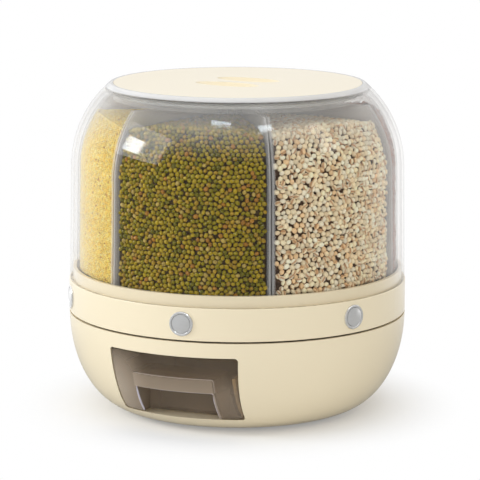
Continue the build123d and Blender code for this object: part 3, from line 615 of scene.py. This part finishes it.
def wallGrains(index, look, rng):
    # grains against the bin's outer wall, whose lattice is bent round it
    step = look["spacing"]
    half = wallLayer["width"] / 2
    spots, sizes = packSpots(wallLayer["width"], wallLayer["length"], look, rng)
    spots[:, 1] -= wallLayer["lowered"]        # the lowest row starts behind the ring
    # one more row along the heap's front edge
    edge = np.arange(0, wallLayer["width"], step * wallLayer["edgeStep"])
    edgeHeight = heapHeight(wallLayer["edgeRadius"], (edge - half) / wallLayer["edgeRadius"])
    edgeSpots = np.stack([edge, alongTo(edgeHeight)], axis=1) / step
    spots = np.vstack([spots, edgeSpots + rng.normal(0, wallLayer["edgeShake"], edgeSpots.shape)])
    sizes = np.concatenate([sizes, 1 + look["spread"] * rng.uniform(-1, 1, len(edge))])
    along = np.clip(spots[:, 1] * step, 0, None)
    radius, height, turn = wallPoint(along)
    thick = look["size"][2] / 2 * sizes
    sinks = rng.random(len(sizes)) < wallLayer["sunkShare"]
    sunk = thick + np.where(sinks, rng.uniform(*wallLayer["sunk"], len(sizes)) * thick, 0.0)
    angle = (spots[:, 0] * step - half) / radius
    keep = np.abs(angle) < halfWidth(radius) - wallLayer["sideGap"] * step / radius
    keep &= height < heapHeight(radius, angle) + wallLayer["over"] * thick
    angle = angle[keep] + binAngle(index)
    inner = (radius - sunk * np.cos(turn))[keep]
    rise = (height - sunk * np.sin(turn))[keep]
    centres = np.stack([inner * np.cos(angle), inner * np.sin(angle), rise], axis=-1)
    axes = radialAxes(angle, turn[keep])
    return scatterGrains(f"grain_wall_{index}", index, centres, axes, sizes[keep], look, rng)


# frontGap is in grain spacings, sunk in a grain's half thicknesses
topLayer = {"width": 0.140, "length": 0.150, "leastRadius": 0.02, "across": 0.985, "frontGap": 0.3,
            "sunk": (0.5, 1.1)}


def topGrains(index, look, rng):
    # grains on the heap's top
    step = look["spacing"]
    spots, sizes = packSpots(topLayer["width"], topLayer["length"], look, rng)
    x = spots[:, 1] * step
    y = spots[:, 0] * step - topLayer["width"] / 2
    radius, angle = np.hypot(x, y), np.arctan2(y, x)
    across = angle / halfWidth(np.maximum(radius, topLayer["leastRadius"]))
    height = heapHeight(radius, angle)
    rim, _, _ = wallPoint(alongTo(height))
    keep = (np.abs(across) < topLayer["across"]) & (radius > binShape["hubRadius"] + step / 2)
    keep &= radius < rim - topLayer["frontGap"] * step
    height = height - look["size"][2] / 2 * sizes * rng.uniform(*topLayer["sunk"], len(sizes))
    angle = angle[keep] + binAngle(index)
    centres = np.stack([radius[keep] * np.cos(angle), radius[keep] * np.sin(angle), height[keep]], axis=-1)
    axes = radialAxes(angle, np.full(len(angle), math.pi / 2))
    return scatterGrains(f"grain_top_{index}", index, centres, axes, sizes[keep], look, rng)


# deep and sideGap are shares: of a grain's thickness, and of that depth
bedShape = {"deep": 0.55, "sideGap": 0.3, "wallTop": 0.2680, "topInset": 0.0055, "wallSteps": 40, "topSteps": 24,
            "acrossSteps": 25}


def grainBed(index, look):
    # the heap behind the front grains: its profile carried across the bin, between two flat sides;
    # the profile's top has no height of its own, and takes the heap's
    deep = look["size"][2] * bedShape["deep"]
    slices = bedShape["acrossSteps"]
    radius, height, turn = wallPoint(np.linspace(0.0, alongTo(bedShape["wallTop"]), bedShape["wallSteps"]))
    wall = np.stack([radius - deep * np.cos(turn), height - deep * np.sin(turn)], axis=1)
    hub = binShape["hubRadius"] + deep
    topRadius = np.linspace(wall[-1, 0] - bedShape["topInset"], hub, bedShape["topSteps"])
    top = np.stack([topRadius, np.full(len(topRadius), np.nan)], axis=1)
    inner = np.array([[hub, binShape["crest"]], *binShape["outlet"]])
    profile = np.vstack([wall, top, inner])
    count = len(profile)
    across = np.linspace(-1, 1, slices)[:, None]
    radius = np.broadcast_to(profile[:, 0], (slices, count))
    lean = across * (halfWidth(radius) - deep * bedShape["sideGap"] / radius)
    heap = heapHeight(radius, lean) - deep
    height = np.where(np.isnan(profile[:, 1]), heap, np.minimum(np.nan_to_num(profile[:, 1]), heap))
    angle = binAngle(index) + lean
    points = np.stack([radius * np.cos(angle), radius * np.sin(angle), height], axis=-1).reshape(-1, 3)
    sides = gridFaces(slices, count)[:, ::-1]
    ends = np.stack([np.arange(count), np.arange(count)[::-1] + (slices - 1) * count])
    bedLook = {"cellScale": 1.0 / look["spacing"], "colour": look["bed"], "shade": look["bedShade"]}
    finish = bedFinish(f"{look['slot']}_bed", bedLook)
    piece = makePiece(f"grain_bed_{index}", points, [sides, ends], finish, "hopper")
    piece.data.polygons.foreach_set("use_smooth", np.zeros(len(piece.data.polygons), bool))
    return piece


grainFinishes = {index: grainFinish(look["slot"], look) for index, look in grainLooks.items()}
firstSeed = 40
for index, look in grainLooks.items():
    rng = np.random.default_rng(firstSeed + index)
    bed = grainBed(index, look)
    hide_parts(f"grain_fill_{index}")
    wallGrains(index, look, rng)
    topGrains(index, look, rng)
print("grain packed")


# Return springs: coils of round wire

springShape = {"inner": 0.0707, "outer": 0.0873, "radius": 0.00245, "wire": 0.00035, "turns": 6,
               "stepsPerTurn": 24, "sides": 6, "height": 0.1068, "keep": 0.41}


def springCoil(index):
    # a circle carried along a helix on the button's axis
    rows = springShape["stepsPerTurn"] * springShape["turns"] + 1
    sides = springShape["sides"]
    turns = np.linspace(0, 2 * math.pi * springShape["turns"], rows)
    ring = np.arange(sides) * (2 * math.pi / sides)
    reach = springShape["radius"] + springShape["wire"] * np.cos(ring)[None, :]
    out = np.linspace(springShape["inner"], springShape["outer"], rows)[:, None]
    out = out + springShape["wire"] * np.sin(ring)[None, :]
    side = reach * np.cos(turns)[:, None]
    rise = springShape["height"] + reach * np.sin(turns)[:, None]
    angle = binAngle(index)
    points = np.stack([out * math.cos(angle) - side * math.sin(angle),
                       out * math.sin(angle) + side * math.cos(angle), rise], axis=-1)
    ends = np.stack([np.arange(sides), (rows - 1) * sides + np.arange(sides)[::-1]])
    coil = makePiece(f"spring_coil_{index}", points.reshape(-1, 3), [gridFaces(rows, sides)[:, ::-1], ends],
                     finishes["spring_steel"], "hopper")
    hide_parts(f"return_spring_{index}")
    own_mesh(coil)


for index in range(1, binShape["count"] + 1):
    springCoil(index)
print("springs coiled")


# Finger pocket: rounded rims on its edges, coloured pale as painted highlight where they catch the light

pocketShape = {"half": 0.0375, "sill": 0.0176, "lip": 0.0434, "roof": 0.0561, "corner": 0.002,
               "rimRadius": 0.0011, "lipRadius": 0.0005, "lineRadius": 0.00045, "sides": 8,
               "rimInset": 0.0021, "lineInset": 0.0030, "lineOut": 0.0011, "taper": 0.006,
               "turnSteps": 9, "riseSteps": 16, "runSteps": 30}
bowlCurve = {"top": 0.0905, "drop": 0.0880, "centre": 0.100, "reach": 0.055}


def frontReach(height, inset):
    # radius of the drawer's front at a height, moved inwards: the bowl's quarter ellipse
    sink = (bowlCurve["top"] - height) / (bowlCurve["drop"] - inset)
    return bowlCurve["centre"] + (bowlCurve["reach"] - inset) * np.sqrt(1 - sink ** 2)


def archPath(half, foot, top, inset):
    # up one side, round a corner, across and down again, on the drawer's front
    corner = pocketShape["corner"]
    turn = np.linspace(0, math.pi / 2, pocketShape["turnSteps"])
    rise = np.linspace(foot, top - corner, pocketShape["riseSteps"])
    run = np.linspace(corner - half, half - corner, pocketShape["runSteps"])[1:-1]
    x = np.concatenate([np.full(len(rise), -half), corner - half - corner * np.cos(turn[1:]), run,
                        half - corner + corner * np.sin(turn), np.full(len(rise) - 1, half)])
    z = np.concatenate([rise, top - corner + corner * np.sin(turn[1:]), np.full(len(run), top),
                        top - corner + corner * np.cos(turn), rise[::-1][1:]])
    return np.stack([x, -np.sqrt(frontReach(z, inset) ** 2 - x ** 2), z], axis=-1)


def roundRim(name, path, radius):
    # a circle carried along a path, with flat ends
    ahead = np.gradient(path, axis=0)
    ahead /= np.linalg.norm(ahead, axis=1, keepdims=True)
    side = np.cross(ahead, (0.0, -1.0, 0.0))
    side /= np.linalg.norm(side, axis=1, keepdims=True)
    out = np.cross(side, ahead)
    sides = pocketShape["sides"]
    ring = (np.arange(sides) * (2 * math.pi / sides))[:, None]
    circle = np.cos(ring) * side[:, None] + np.sin(ring) * out[:, None]
    points = path[:, None] + radius[:, None, None] * circle
    rows = len(path)
    ends = np.stack([np.arange(sides)[::-1], (rows - 1) * sides + np.arange(sides)])
    return makePiece(name, points.reshape(-1, 3), [gridFaces(rows, sides), ends],
                     finishes["pocket_rim"], "drawer")


# the rim is thick on the pocket's sides and thin under the lip
rimPath = archPath(pocketShape["half"], pocketShape["sill"], pocketShape["lip"], pocketShape["rimInset"])
onSide = np.clip((pocketShape["lip"] - rimPath[:, 2]) / pocketShape["taper"], 0, 1)
thicker = pocketShape["rimRadius"] - pocketShape["lipRadius"]
roundRim("pocket_rim", rimPath, pocketShape["lipRadius"] + thicker * onSide)
linePath = archPath(pocketShape["half"] + pocketShape["lineOut"], pocketShape["lip"], pocketShape["roof"],
                    pocketShape["lineInset"])
roundRim("pocket_line", linePath, np.full(len(linePath), pocketShape["lineRadius"]))
print("pocket rims made")


# CAD pieces take the finish of their slot, or one of their own
ownFinishes = {"grain_bin": "bin_plastic", "lid_rim": "rim_plastic"}
for part in frame["record"]["subparts"]:
    if part["material_slot"] in finishes:
        mesh = nodes[part["node"]].data
        mesh.materials.clear()
        kind = part["node"].rstrip("_123456")
        mesh.materials.append(finishes[ownFinishes.get(kind, part["material_slot"])])
print("CAD pieces finished")


# Stage: floor, light and camera

stageLook = {"floorSize": 4.0, "floorColour": (0.92, 0.92, 0.92), "floorGlow": 0.25, "white": (0.12, 0.215),
             "floorBack": (-0.2, 0.6), "skyBack": (-0.1, 0.5), "skyTop": (0.55, 0.95), "ambient": 0.62,
             "roomDark": 0.10, "back": (-0.397, 0.918, 0.0), "lampTarget": (0.0, 0.0, 0.16)}


def lifted(level, least):
    # the same level, from a least value up instead of from nothing
    return level * (1.0 - least) + least


def layFloor():
    # a plain square with a glow of its own, which grows to full away from the object;
    # the camera and mirrors see it, and it lights nothing
    half = stageLook["floorSize"]
    mesh = bpy.data.meshes.new("floor")
    corners = [(-half, -half, 0), (half, -half, 0), (half, half, 0), (-half, half, 0)]
    mesh.from_pydata(corners, [], [(0, 1, 2, 3)])
    finish = newFinish("floor_white")
    seen, mirrored = finish.rays()
    away = finish.node("ShaderNodeVectorMath", {"operation": "LENGTH"}, {0: finish.place()}, "Value")
    out = finish.between(away, *stageLook["white"])
    room = finish.between(finish.along(stageLook["back"]), *stageLook["floorBack"])
    room = lifted(room, stageLook["roomDark"])
    shade = finish.node("ShaderNodeBsdfDiffuse", None, {"Color": stageLook["floorColour"]})
    glow = finish.node("ShaderNodeEmission", None, {"Color": (1.0, 1.0, 1.0), "Strength": seen + mirrored * room})
    share = seen * lifted(out, stageLook["floorGlow"])
    mesh.materials.append(finish.close(finish.blendShaders(share.orMore(mirrored), shade, glow)))
    floor = bpy.data.objects.new("floor", mesh)
    scene.collection.objects.link(floor)


def lightWorld():
    # white to the camera; in mirrors white behind the object and dim on the camera's side, as in a studio;
    # and a plain ambient level for everything else
    finish = Finish(bpy.data.worlds.new("studio"))
    seen, mirrored = finish.rays()
    way = finish.node("ShaderNodeTexCoord", output="Generated")
    towardsBack = {0: way, 1: stageLook["back"]}
    behind = finish.node("ShaderNodeVectorMath", {"operation": "DOT_PRODUCT"}, towardsBack, "Value")
    above = finish.node("ShaderNodeSeparateXYZ", None, {"Vector": way}, "Z")
    room = finish.between(behind, *stageLook["skyBack"]).orMore(finish.between(above, *stageLook["skyTop"]))
    room = lifted(room, stageLook["roomDark"])
    level = seen + mirrored * room + (1.0 - seen.orMore(mirrored)) * stageLook["ambient"]
    sky = finish.node("ShaderNodeBackground", None, {"Color": (1.0, 1.0, 1.0), "Strength": level})
    scene.world = finish.close(sky, "ShaderNodeOutputWorld")


lamps = {
    "key": {"azimuth": -52.0, "elevation": 27.0, "distance": 2.2, "size": (1.5, 1.0), "power": 10.2,
            "colour": (0.87, 0.92, 1.0)},
    "softbox": {"azimuth": -58.0, "elevation": 24.0, "distance": 2.2, "size": (0.55, 0.42), "power": 8.6,
                "colour": (0.92, 0.96, 1.0)},
    "low": {"azimuth": -72.0, "elevation": 5.0, "distance": 1.7, "size": (1.1, 0.4), "power": 2.2,
            "colour": (0.86, 0.92, 1.0), "mirrored": False},
    "front": {"azimuth": 20.0, "elevation": 20.0, "distance": 2.6, "size": (1.6, 1.0), "power": 9.0,
              "colour": (1.0, 0.985, 0.955), "mirrored": False},
    "fill": {"azimuth": 95.0, "elevation": 35.0, "distance": 2.6, "size": (0.5, 1.2), "power": 4.2,
             "colour": (1.0, 0.92, 0.78)},
    "top": {"azimuth": 180.0, "elevation": 80.0, "distance": 2.4, "size": (1.6, 1.6), "power": 6.0,
            "colour": (1.0, 1.0, 1.0)},
    "windowLeft": {"azimuth": 6.0, "elevation": 60.0, "distance": 1.6, "size": (0.28, 0.11), "power": 1.0,
                   "colour": (0.82, 0.93, 1.0)},
    "windowRight": {"azimuth": 50.0, "elevation": 54.0, "distance": 1.6, "size": (0.22, 0.16), "power": 1.0,
                    "colour": (0.82, 0.93, 1.0)},
}


def wayTo(look):
    # azimuth from the drawer's side towards +X, elevation from the floor
    turn, rise = math.radians(look["azimuth"]), math.radians(look["elevation"])
    return Vector((math.sin(turn) * math.cos(rise), -math.cos(turn) * math.cos(rise), math.sin(rise)))


def hangLamp(name, look):
    # a lit rectangle that faces the object
    way = wayTo(look)
    light = bpy.data.lights.new(name, "AREA")
    light.shape = "RECTANGLE"
    light.size, light.size_y = look["size"]
    light.energy = look["power"]
    light.color = look["colour"]
    lamp = bpy.data.objects.new(name, light)
    lamp.location = Vector(stageLook["lampTarget"]) + way * look["distance"]
    lamp.rotation_euler = way.to_track_quat("Z", "Y").to_euler()
    lamp.visible_glossy = look.get("mirrored", True)
    scene.collection.objects.link(lamp)


cameraLook = {"azimuth": 23.4, "elevation": 10.48, "distance": 2.443, "target": (0.0, 0.0, 0.1541),
              "focalPixels": 2646.0, "imagePixels": 480.0, "sidePixels": 2.58, "roll": 0.138,
              "sensor": 36.0, "clipEnd": 20.0, "clearDepth": 48}


def placeCamera():
    way = wayTo(cameraLook)
    lens = bpy.data.cameras.new("camera")
    lens.sensor_width = cameraLook["sensor"]
    lens.lens = lens.sensor_width * cameraLook["focalPixels"] / cameraLook["imagePixels"]
    lens.shift_x = cameraLook["sidePixels"] / cameraLook["imagePixels"]
    lens.clip_end = cameraLook["clipEnd"]
    camera = bpy.data.objects.new("camera", lens)
    camera.location = Vector(cameraLook["target"]) + way * cameraLook["distance"]
    roll = Matrix.Rotation(math.radians(cameraLook["roll"]), 3, "Z")
    camera.rotation_euler = (way.to_track_quat("Z", "Y").to_matrix() @ roll).to_euler()
    scene.collection.objects.link(camera)
    scene.camera = camera


layFloor()
lightWorld()
for name, look in lamps.items():
    hangLamp(name, look)
placeCamera()
scene.view_settings.view_transform = "Standard"
scene.cycles.transparent_max_bounces = cameraLook["clearDepth"]
print("stage set")
